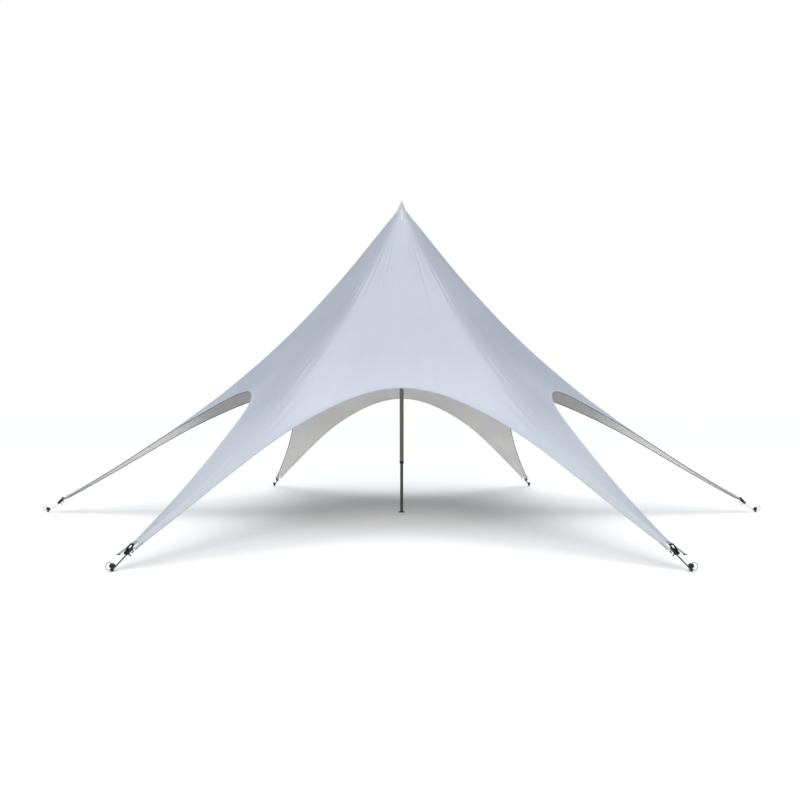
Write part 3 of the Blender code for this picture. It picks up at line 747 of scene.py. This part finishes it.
class STARTENT_OT_canopy(Operator):
    """Makes the canopy as one sewn sheet over all six legs, with hems, cords, seams, tapes, ears and tabs"""

    bl_idname = "startent.canopy"
    bl_label = "Canopy"

    def execute(self, context):
        sizes = context.scene.star_canopy
        sheet = self.make_sheet()
        trim = []
        for gore, degrees in GORES.items():
            trim += self.make_hem(gore, degrees, sizes.hem)
            trim.append(self.make_tape(gore, degrees))
        for leg, degrees in LEGS.items():
            trim += [self.make_seam(leg, degrees, sizes.seam), self.make_end(leg, degrees)]
            trim += self.make_tails(leg, degrees)
        return {"FINISHED"}

    def make_sheet(self):
        """Six gores welded along the ridges, given their thickness towards the inside.

        The columns stand closer together beside the ridges, where the folds are: 1.3 a less 0.3 a cubed.
        """
        down = np.linspace(0, 1, CANOPY_ROWS + 1)[:, None]
        across = np.linspace(-1, 1, CANOPY_COLUMNS + 1)[None, :]
        across = 1.3 * across - 0.3 * across**3
        gores = []
        for degrees in GORES.values():
            points = gore_points(down, across, math.radians(degrees))
            uv = grid(points[..., 1], np.hypot(points[..., 0], points[..., 2] - APEX_HEIGHT))
            gores.append(put((points, grid_faces(*points.shape[:2]), uv), degrees))
        nodes = ["canopy_" + gore for gore in GORES]
        obj = new_piece("canopy", joined(*gores), ["outer", "inner"], stands_for=nodes, sharp=60, shell=False)
        if sum(face.normal.z for face in obj.data.polygons) < 0:
            obj.data.flip_normals()
        solid = obj.modifiers.new("thickness", "SOLIDIFY")
        solid.thickness = CLOTH_THICK
        solid.offset = -1
        solid.material_offset = 1
        solid.material_offset_rim = 0
        return obj

    def make_hem(self, name, degrees, width):
        """A folded band along an arch and the cord under its edge, profiles carried along the gore's end."""
        across = np.linspace(-1, 1, HEM_STEPS)
        azimuth = math.radians(degrees)
        edge = gore_points(1.0, across, azimuth)
        along = unit(np.gradient(edge, axis=0))
        inward = gore_points(0.996, across, azimuth) - edge
        inward = unit(inward - np.sum(inward * along, -1, keepdims=True) * along)
        up = unit(np.cross(along, inward))
        up = up * np.sign(up[:, 2:3])
        middle = -CLOTH_THICK / 2
        band = rounded_box(width, HEM_THICK, HEM_CORNER) + [width / 2 - HEM_PROUD, middle]
        cord = circle(CORD_RADIUS, 10, (CORD_IN, middle - CORD_UNDER))
        # The cord shows from inside and at the outline, and is dark at the four side arches only, as painted
        # shade
        edging = "hem" if name in ("front", "back") else "piping"
        made = []
        for kind, profile, finishes in (("hem_", band, ["hem", "inner"]), ("edge_shade_cord_", cord, [edging])):
            shape = put(carried(edge, inward, up, profile), degrees)
            # The band's underside is the cloth's inner face
            column = np.arange(len(shape[1])) % len(profile)
            marks = ((column > 8) & (column < 15)).astype(int) * (len(finishes) - 1)
            made.append(new_piece(kind + name, shape, finishes, marks=marks))
        return made

    def make_strip(self, name, degrees, along, aside, rise, thick, finish, on_leg=True):
        """A strip on the cloth: the cloth's height over a grid plus the rise, and its thickness below."""
        top = grid(along, aside, height_at(along, aside, math.radians(degrees), on_leg) + rise)
        shape = put(between(top, top - [0, 0, thick]), degrees)
        return new_piece(name, shape, [finish])

    def make_seam(self, name, degrees, width):
        """The lapped strip over a leg, from the cap to the leg's end."""
        along = np.linspace(TOP_RADIUS + 0.01, TIP_RADIUS - TIP_HOLLOW - 0.004, 200)[:, None]
        aside = width * np.linspace(-0.5, 0.5, 7)[None, :]
        return self.make_strip("seam_" + name, degrees, along, aside, SEAM_RISE, SEAM_THICK, "seam")

    def make_end(self, name, degrees):
        """The hem across a leg's end, which follows the hollow cut and wraps the cloth."""
        back = np.linspace(0, END_WIDTH, 6)[:, None]
        aside = (TIP_HALF_WIDTH - 0.002) * np.linspace(-1, 1, 33)[None, :]
        along = TIP_RADIUS - hollow(TIP_RADIUS, aside) - back + 0.001
        thick = 2 * END_RISE + CLOTH_THICK * SLANT
        return self.make_strip("end_" + name, degrees, along, aside, END_RISE, thick, "hem")

    def make_tape(self, name, degrees):
        """The white tape under the cap, down the middle of a gore, narrowing evenly: a painted highlight."""
        down = np.linspace(0, 1, 24)[:, None]
        wide, narrow = TAPE_HALF_WIDTHS
        along = TAPE_FROM + TAPE_LENGTH * down
        aside = (wide + (narrow - wide) * down) * np.linspace(-1, 1, 9)[None, :]
        return self.make_strip("tape_" + name, degrees, along, aside, TAPE_RISE, TAPE_THICK, "tape", False)

    def make_tails(self, name, degrees):
        """The ends of a leg's edges beside the ratchet: a long ear of webbing and a short tab of cloth.

        Each is a strip whose height falls evenly with the distance, with the edge's cord along it, and the
        ear ends in a bar. The two legs at the back have a tab on each side.
        """
        longer = -1 if name.startswith("left") else 1
        at_back = name.endswith("back")
        tab = TAB_LENGTH, "hem"
        ear = tab if at_back else (EAR_LENGTH, "ear_web")
        start = TIP_RADIUS - TAIL_OVERLAP
        inset = TIP_HALF_WIDTH - TAIL_INSET
        made, cords = [], []
        for kind, side, (length, finish) in (("ear_", longer, ear), ("tab_", -longer, tab)):
            away = np.linspace(0, length, TAIL_STEPS)[:, None]
            edge = TIP_HALF_WIDTH + 0.003 + TAIL_SPREAD * away
            aside = edge + TAIL_WIDTH * np.linspace(-1, 0, 7)[None, :]
            height = height_at(start, side * inset, math.radians(degrees)) - TAIL_UNDER - TAIL_FALL * away
            height = height - TAIL_FOLD * (aside - inset) * np.exp(-away / TAIL_FOLD_REACH)
            height = height + TAIL_CURL * away * np.sin(TAIL_CURL_RATE * away) * (edge - aside)
            top = grid(start + away, side * aside, height)
            shape = put(between(top, top - [0, 0, TAIL_THICK]), degrees)
            # A row has seven faces above, its inner edge among them, and seven of the inner side below
            marks = (np.arange(len(shape[1])) % 14 > 6).astype(int)
            made.append(new_piece(kind + name, shape, [finish, "inner"], marks=marks))
            rim = top[:, -1] - [0, 0, TAIL_THICK / 2]
            cords.append(carried(rim, [0, 1, 0], [0, 0, 1], circle(TAIL_CORD, 10)))
            if finish == "ear_web":
                ends = top[-1, [0, -1]] + [[0, -side * 0.003, 0.001], [0, side * 0.018, -0.004]]
                bar = carried(ends, [1, 0, -TAIL_FALL], [0, 0, 1], rounded_box(*BAR_SIZE))
        cords = put(joined(*cords), degrees)
        # The tails' cords are dark, partly painted shade along their edges
        made.append(new_piece("tail_cords_" + name, cords, ["piping"]))
        if not at_back:
            made.append(new_piece("ear_bar_" + name, put(bar, degrees), ["black"], ROOT))
        return made


class STARTENT_OT_apex(Operator):
    """Makes the pointed cap over the apex"""

    bl_idname = "startent.apex"
    bl_label = "Apex cap"

    def execute(self, context):
        """The greater of a cone and the cloth's height, eased together, over a disc with a wavy rim."""
        angle = np.linspace(0, 2 * math.pi, 145)[None, :]
        # The rim reaches down as a point over the middle of each gore and is short over each leg
        across = ((np.degrees(angle) % 60) - 30) / 30
        radius = (TOP_RADIUS + CAP_RIM + CAP_POINT * (1 - np.abs(across))) * np.linspace(0, 1, 25)[:, None]
        cone = CAP_TIP - CAP_SLOPE * radius
        cloth = shown_height(radius, across, angle) + CAP_RISE
        height = cone + np.log1p(np.exp((cloth - cone) / CAP_BLEND)) * CAP_BLEND
        top = grid(radius * np.cos(angle), radius * np.sin(angle), height)
        rows = np.concatenate([top, top[::-1] - [0, 0, CAP_THICK]])
        uv = grid(0.1 * angle, run_along(rows[:, 0])[:, None])
        shape = rows, grid_faces(*rows.shape[:2]), uv
        new_piece("cap", shape, ["cap"], ROOT, ["apex_cap"], 50)
        return {"FINISHED"}


class STARTENT_OT_mast(Operator):
    """Makes the two tubes of the mast with their collar and foot"""

    bl_idname = "startent.mast"
    bl_label = "Mast"

    def execute(self, context):
        sides = context.scene.star_fittings.sides
        low, high = STEP_HEIGHT, STEP_HEIGHT + COLLAR_HEIGHT
        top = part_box("mast_upper")[1].z
        rolled = 0.0012
        bush = UPPER_BORE - SLIDE_GAP
        bore = LOWER_RADIUS + 2 * SLIDE_GAP
        grip = UPPER_RADIUS + 0.003
        weld = LOWER_RADIUS + 0.0002
        tubes = {
            "upper_tube": ("mast_upper", ROOT, "tube", "mast_aluminium", [
                (UPPER_BORE, high), (UPPER_RADIUS - rolled, high), (UPPER_RADIUS, high + rolled),
                (UPPER_RADIUS, top - rolled), (UPPER_RADIUS - rolled, top), (UPPER_BORE, top),
                (UPPER_BORE, high),
            ]),
            "lower_tube": ("mast_lower", TUBE, "inner_tube", "mast_aluminium", [
                (LOWER_BORE, FOOT_HEIGHT), (LOWER_RADIUS, FOOT_HEIGHT),
                (LOWER_RADIUS, LOWER_TOP - BUSH_HEIGHT), (bush, LOWER_TOP - BUSH_HEIGHT + 0.004),
                (bush, LOWER_TOP), (LOWER_BORE, LOWER_TOP), (LOWER_BORE, FOOT_HEIGHT),
            ]),
            "step_collar": ("mast_collar", ROOT, "black", "black_steel", [
                (bore, low), (LOWER_RADIUS + 0.005, low), (grip - 0.001, low + 0.010),
                (grip, low + 0.012), (grip, high - 0.014), (grip - 0.0015, high - 0.013),
                (grip - 0.0015, high - 0.010), (grip, high - 0.009), (grip, high - 0.001),
                (grip - 0.001, high), (bore, high), (bore, low),
            ]),
            "foot_plate": ("mast_foot", TUBE, "black", "black_steel", [
                (0, 0), (FOOT_RADIUS - 0.001, 0), (FOOT_RADIUS, 0.001),
                (FOOT_RADIUS, FOOT_HEIGHT - 0.003), (FOOT_RADIUS - 0.002, FOOT_HEIGHT - 0.001),
                (LOWER_RADIUS + 0.008, FOOT_HEIGHT), (LOWER_RADIUS + 0.0015, FOOT_HEIGHT + 0.008),
                (weld, FOOT_HEIGHT + 0.009), (weld, FOOT_HEIGHT), (0, FOOT_HEIGHT),
            ]),
        }
        for name, (stands_for, body, finish, slot, profile) in tubes.items():
            new_piece("mast_" + name, turned(profile, sides), [finish], body, [stands_for])
        finish_node("mast_head")
        return {"FINISHED"}


def finish_node(name):
    """Gives a carried-over solid the powder coat in place of its plain material."""
    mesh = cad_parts[name].data
    mesh.materials.clear()
    mesh.materials.append(FINISHES["black"])


class STARTENT_OT_pegs(Operator):
    """Makes each peg's forged head and the lifting ring on it"""

    bl_idname = "startent.pegs"
    bl_label = "Pegs"

    def execute(self, context):
        profile = [
            (0, 0), (PEG_NECK, 0), (PEG_NECK, PEG_HEAD_LOW - 0.004),
            (PEG_HEAD - 0.008, PEG_HEAD_LOW - 0.001), (PEG_HEAD - 0.002, PEG_HEAD_LOW + 0.002),
            (PEG_HEAD, PEG_HEAD_LOW + 0.007), (PEG_HEAD, PEG_HEAD_SIDE - 0.002),
            (PEG_HEAD - 0.002, PEG_HEAD_SIDE + 0.006), (PEG_HEAD - 0.008, PEG_TOP - 0.006),
            (PEG_HEAD - 0.018, PEG_TOP), (0, PEG_TOP),
        ]
        head = moved(turned(profile, 40), lambda points: points + [PEG_RADIUS, 0, 0])
        middle = [PEG_RADIUS + PEG_RING_OUT, 0, PEG_RING_UP]
        ring = wire_ring(PEG_RING, PEG_RING_WIRE, context.scene.star_fittings.sides)
        ring = moved(ring, lambda points: points[:, [0, 2, 1]] + middle)
        for leg, degrees in LEGS.items():
            new_piece("peg_head_" + leg, put(head, degrees), ["black"], ROOT, ["peg_" + leg])
            new_piece("peg_ring_" + leg, put(ring, degrees), ["zinc"], ROOT)
        return {"FINISHED"}


class STARTENT_OT_straps(Operator):
    """Makes each black strap on its spool and the white webbing that ties the leg to the ratchet"""

    bl_idname = "startent.straps"
    bl_label = "Straps"

    def execute(self, context):
        strap, hook = (moved(shape, on_tie) for shape in self.strap_shapes())
        web, marks = self.web_shape()
        finishes = ["white_web", "inner"]
        for leg, degrees in LEGS.items():
            shape = put(strap, degrees)
            new_piece("strap_webbing_" + leg, shape, ["black_web"], ROOT, ["strap_" + leg])
            new_piece("strap_loop_" + leg, put(hook, degrees), ["black"], ROOT)
            shape, nodes = put(web, degrees), ["leg_web_" + leg]
            new_piece("leg_webbing_" + leg, shape, finishes, ROOT, nodes, marks=marks)
        return {"FINISHED"}

    def strap_shapes(self):
        """The strap in the spool's frame: its roll and straight run, its free end, its sewn end and the loop.

        The roll is a spiral whose radius grows evenly with the angle, and it leaves at its lowest point.
        """
        turns = np.linspace(0, ROLL_TURN, 90)
        grow = SPOOL_RADIUS + ROLL_START + ROLL_GROWTH * turns / ROLL_TURN
        angle = turns - ROLL_TURN - math.pi / 2
        wound = grid(grow * np.cos(angle), 0, grow * np.sin(angle))
        neck = (PEG_NECK + HOOK_WIRE + 0.0003) / math.cos(tie_frame()[4])
        hook_at = -SPOOL_AT + HOOK_RADIUS - neck
        near = hook_at + HOOK_RADIUS + 0.001
        straight = grid(np.linspace(-0.004, near, 40), 0, STRAP_LEVEL)
        loose = np.array(LOOSE_END) / 1000
        loose = grid(loose[:, 0], 0, loose[:, 1])
        block = grid(np.linspace(near - 0.002, near + SEWN_LENGTH, 8), 0, STRAP_LEVEL)
        sewn = rounded_box(STRAP_WIDTH * 0.62, 2 * HOOK_WIRE + 0.002, 0.0035)
        strap = joined(
            flat_strip(np.concatenate([wound[:-1], straight]), STRAP_WIDTH, STRAP_PLY, 0.001),
            flat_strip(loose, STRAP_WIDTH * 0.94, 0.0020, 0.0009),
            carried(block, [0, 1, 0], [0, 0, 1], sewn),
        )
        loop = wire_ring(HOOK_RADIUS, HOOK_WIRE, 48)
        return strap, moved(loop, lambda points: points + [hook_at, 0, STRAP_LEVEL])

    def web_shape(self):
        """The webbing on the leg on +X: under the folded tip, to the pin, round it, back, and its loose end.

        It is wide under the leg, and its width falls with the square of the distance to the pin.
        """
        share = np.linspace(-0.5, 0.5, 9)
        columns, fan = WEB_WIDTH * share, WEB_FAN * share
        along = np.linspace(TIP_RADIUS - WEB_INSIDE, TIP_RADIUS - 0.004, 12)[:, None]
        inside = grid(along, fan, height_at(along, fan, 0.0) - CLOTH_THICK * SLANT - 0.0020)
        angle = np.radians(np.linspace(WEB_TURN_START, 270, 14))[:, None]
        reach = PIN_RADIUS + 0.0004 + WEB_PLY / 2
        turn = grid(PIN_AT + reach * np.cos(angle), columns, reach * np.sin(angle))
        back = np.linspace(0.004, WEB_RETURN, 6)[:, None]
        rest = on_tie(np.concatenate([turn, grid(PIN_AT + back, columns, -reach - 0.06 * back)]))
        gone = np.linspace(0, 1, 8)[1:-1, None, None]
        across = inside[-1] * (1 - gone) + rest[0] * gone
        across[..., 1] = columns + (fan - columns) * (1 - gone[..., 0]) ** 2
        rows = np.concatenate([inside, across, rest])
        normal = unit(np.cross(np.gradient(rows, axis=0), np.gradient(rows, axis=1)))
        # Its loose end hangs in a loop from the pin towards the spool
        bend = np.radians(np.linspace(70, -170, 22))
        hang = grid(HANG_OUT + HANG_RADIUS * np.cos(bend), 0, HANG_RADIUS * np.sin(bend) - HANG_DROP)
        loop = moved(flat_strip(hang, 0.94 * WEB_WIDTH, WEB_PLY, 0.001), on_tie)
        shape = joined(between(rows + normal * WEB_PLY / 2, rows - normal * WEB_PLY / 2), loop)
        # Its first 11 rows, of 18 faces each, lie under the leg and are faced with the cloth's inner side
        return shape, (np.arange(len(shape[1])) < 11 * 18).astype(int)


class STARTENT_OT_ratchets(Operator):
    """Dresses each ratchet: finish on frame and lever, toothed wheels by the cheeks, and the lever's grip"""

    bl_idname = "startent.ratchets"
    bl_label = "Ratchets"

    def execute(self, context):
        wheels = moved(self.wheel_shape(context.scene.star_fittings.teeth), on_tie)
        grip = moved(self.grip_shape(), on_tie)
        for leg, degrees in LEGS.items():
            finish_node("ratchet_frame_" + leg)
            finish_node("ratchet_handle_" + leg)
            new_piece("ratchet_wheels_" + leg, put(wheels, degrees), ["zinc"], ROOT)
            new_piece("lever_grip_" + leg, put(grip, degrees), ["grip"], "handle_" + leg)
        return {"FINISHED"}

    def wheel_shape(self, teeth, steps=4):
        """Two wheels whose radius climbs along each tooth and drops back at its end, outside the cheeks."""
        angle = np.linspace(0, 2 * math.pi, teeth * steps, endpoint=False)
        radius = WHEEL_RADIUS + TOOTH * (np.arange(teeth * steps) % steps) / (steps - 1)
        outline = grid(radius * np.cos(angle), radius * np.sin(angle))
        y = CHEEK_OUT + np.array([WHEEL_GAP, WHEEL_OUT])
        return joined(*(carried(grid(0, sign * y, 0), [1, 0, 0], [0, 0, 1], outline) for sign in (-1, 1)))

    def grip_shape(self):
        """A sleeve over the lever's cross bar: a rounded box carried along it, fuller in its middle."""
        half = HANDLE_OUT + 0.001
        y = np.linspace(-half, half, 13)
        path = grid(HANDLE_REACH - 0.0005, y, HANDLE_RISE + 0.00075)
        full = (0.90 + 0.10 * np.cos(y / half * math.pi / 2))[:, None]
        return carried(path, full * [1, 0, 0], full * [0, 0, 1], rounded_box(*GRIP_SIZE, 5))


class STARTENT_OT_stage(Operator):
    """Makes the floor, the lights and the camera"""

    bl_idname = "startent.stage"
    bl_label = "Stage"

    def execute(self, context):
        sizes = context.scene.star_stage
        floor = self.make_floor(context.scene)
        self.make_world(context.scene, sizes)
        self.make_lamps(context.scene, sizes, floor)
        self.make_camera(context.scene, sizes)
        context.scene.view_settings.view_transform = "Standard"
        return {"FINISHED"}

    def make_floor(self, scene):
        """A level square centred under the tent."""
        mesh = bpy.data.meshes.new("floor")
        corners = [(x * FLOOR_REACH, y * FLOOR_REACH, 0) for x, y in ((-1, -1), (1, -1), (1, 1), (-1, 1))]
        mesh.from_pydata(corners, [], [(0, 1, 2, 3)])
        mesh.materials.append(new_finish("pale_studio_floor", Roughness=0.9, Base_Color=linear("#F7F7F7"))[0])
        floor = bpy.data.objects.new("floor", mesh)
        scene.collection.objects.link(floor)
        return floor

    def make_world(self, scene, sizes):
        """White where nothing stands in view, and a lower, cooler even light on the tent."""
        scene.world = bpy.data.worlds.new("studio")
        scene.world.use_nodes = True
        tree = scene.world.node_tree
        seen = node(tree, "LightPath", out="Is Camera Ray")
        strength = node(tree, "MapRange", [seen, 0, 1, sizes.ambient, 1])
        colour = node(tree, "Mix", {0: seen, 6: linear("#E4F1FF"), 7: linear("#FFFFFF")}, **PAINT)
        for name, value in (("Strength", strength), ("Color", colour)):
            tree.links.new(value, tree.nodes["Background"].inputs[name])

    def make_lamps(self, scene, sizes, floor):
        """Two wide soft lamps that light the tent and two that light the floor alone."""
        on_floor = bpy.data.collections.new("lit_floor")
        off_floor = bpy.data.collections.new("lit_tent")
        for receivers, state in ((on_floor, "INCLUDE"), (off_floor, "EXCLUDE")):
            receivers.objects.link(floor)
            receivers.collection_objects[0].light_linking.link_state = state
        for name, azimuth, rise, angle, power, tint, receivers in (
            ("overhead_softbox", 90, 90, 40, sizes.top_light, "#FFFFFF", off_floor),
            ("back_softbox", 90, 55, 40, sizes.back_light, "#D2EFFF", off_floor),
            ("floor_overhead_softbox", 270, 78, 88, 2.50 * sizes.floor_light, "#FFFFFF", on_floor),
            ("floor_front_softbox", 270, 30, 34, 1.20 * sizes.floor_light, "#FFFFFF", on_floor),
        ):
            light = bpy.data.lights.new(name, "SUN")
            light.color = linear(tint)[:3]
            light.angle = math.radians(angle)
            light.energy = power
            lamp = bpy.data.objects.new(name, light)
            turn, lift = math.radians(azimuth), math.radians(rise)
            aim = Vector((math.cos(lift) * math.cos(turn), math.cos(lift) * math.sin(turn), math.sin(lift)))
            lamp.rotation_euler = aim.to_track_quat("Z", "Y").to_euler()
            lamp.light_linking.receiver_collection = receivers
            scene.collection.objects.link(lamp)

    def make_camera(self, scene, sizes):
        """A level camera in front of the tent."""
        eye = bpy.data.cameras.new("camera")
        eye.lens = sizes.lens
        eye.sensor_width = 36
        eye.shift_x, eye.shift_y = FRAME_SHIFT
        eye.clip_end = VIEW_END
        camera = bpy.data.objects.new("camera", eye)
        camera.location = (0, -sizes.distance, sizes.eye)
        camera.rotation_euler = (math.pi / 2, 0, 0)
        scene.collection.objects.link(camera)
        scene.camera = camera


STEPS = (
    STARTENT_OT_stage,
    STARTENT_OT_canopy,
    STARTENT_OT_apex,
    STARTENT_OT_mast,
    STARTENT_OT_pegs,
    STARTENT_OT_straps,
    STARTENT_OT_ratchets,
)


class STARTENT_PT_panel(Panel):
    """Lists the tent's sizes and its pieces"""

    bl_idname = "STARTENT_PT_panel"
    bl_label = "Star tent"
    bl_space_type = "VIEW_3D"
    bl_region_type = "UI"
    bl_category = "Star tent"

    def draw(self, context):
        for group in GROUPS:
            box = self.layout.box()
            for key in GROUPS[group].__annotations__:
                box.prop(getattr(context.scene, group), key)
        for step in STEPS:
            self.layout.operator(step.bl_idname)


GROUPS = {"star_canopy": CanopySizes, "star_fittings": FittingSizes, "star_stage": StageSizes}


def register():
    for cls in (*GROUPS.values(), *STEPS, STARTENT_PT_panel):
        bpy.utils.register_class(cls)
    for name, cls in GROUPS.items():
        setattr(bpy.types.Scene, name, PointerProperty(type=cls))


def unregister():
    for name in GROUPS:
        delattr(bpy.types.Scene, name)
    for cls in reversed((*GROUPS.values(), *STEPS, STARTENT_PT_panel)):
        bpy.utils.unregister_class(cls)


def main():
    register()
    make_finishes(bpy.context.scene.star_canopy)
    for step in STEPS:
        group, name = step.bl_idname.split(".")
        getattr(getattr(bpy.ops, group), name)()


if __name__ == "__main__":
    main()
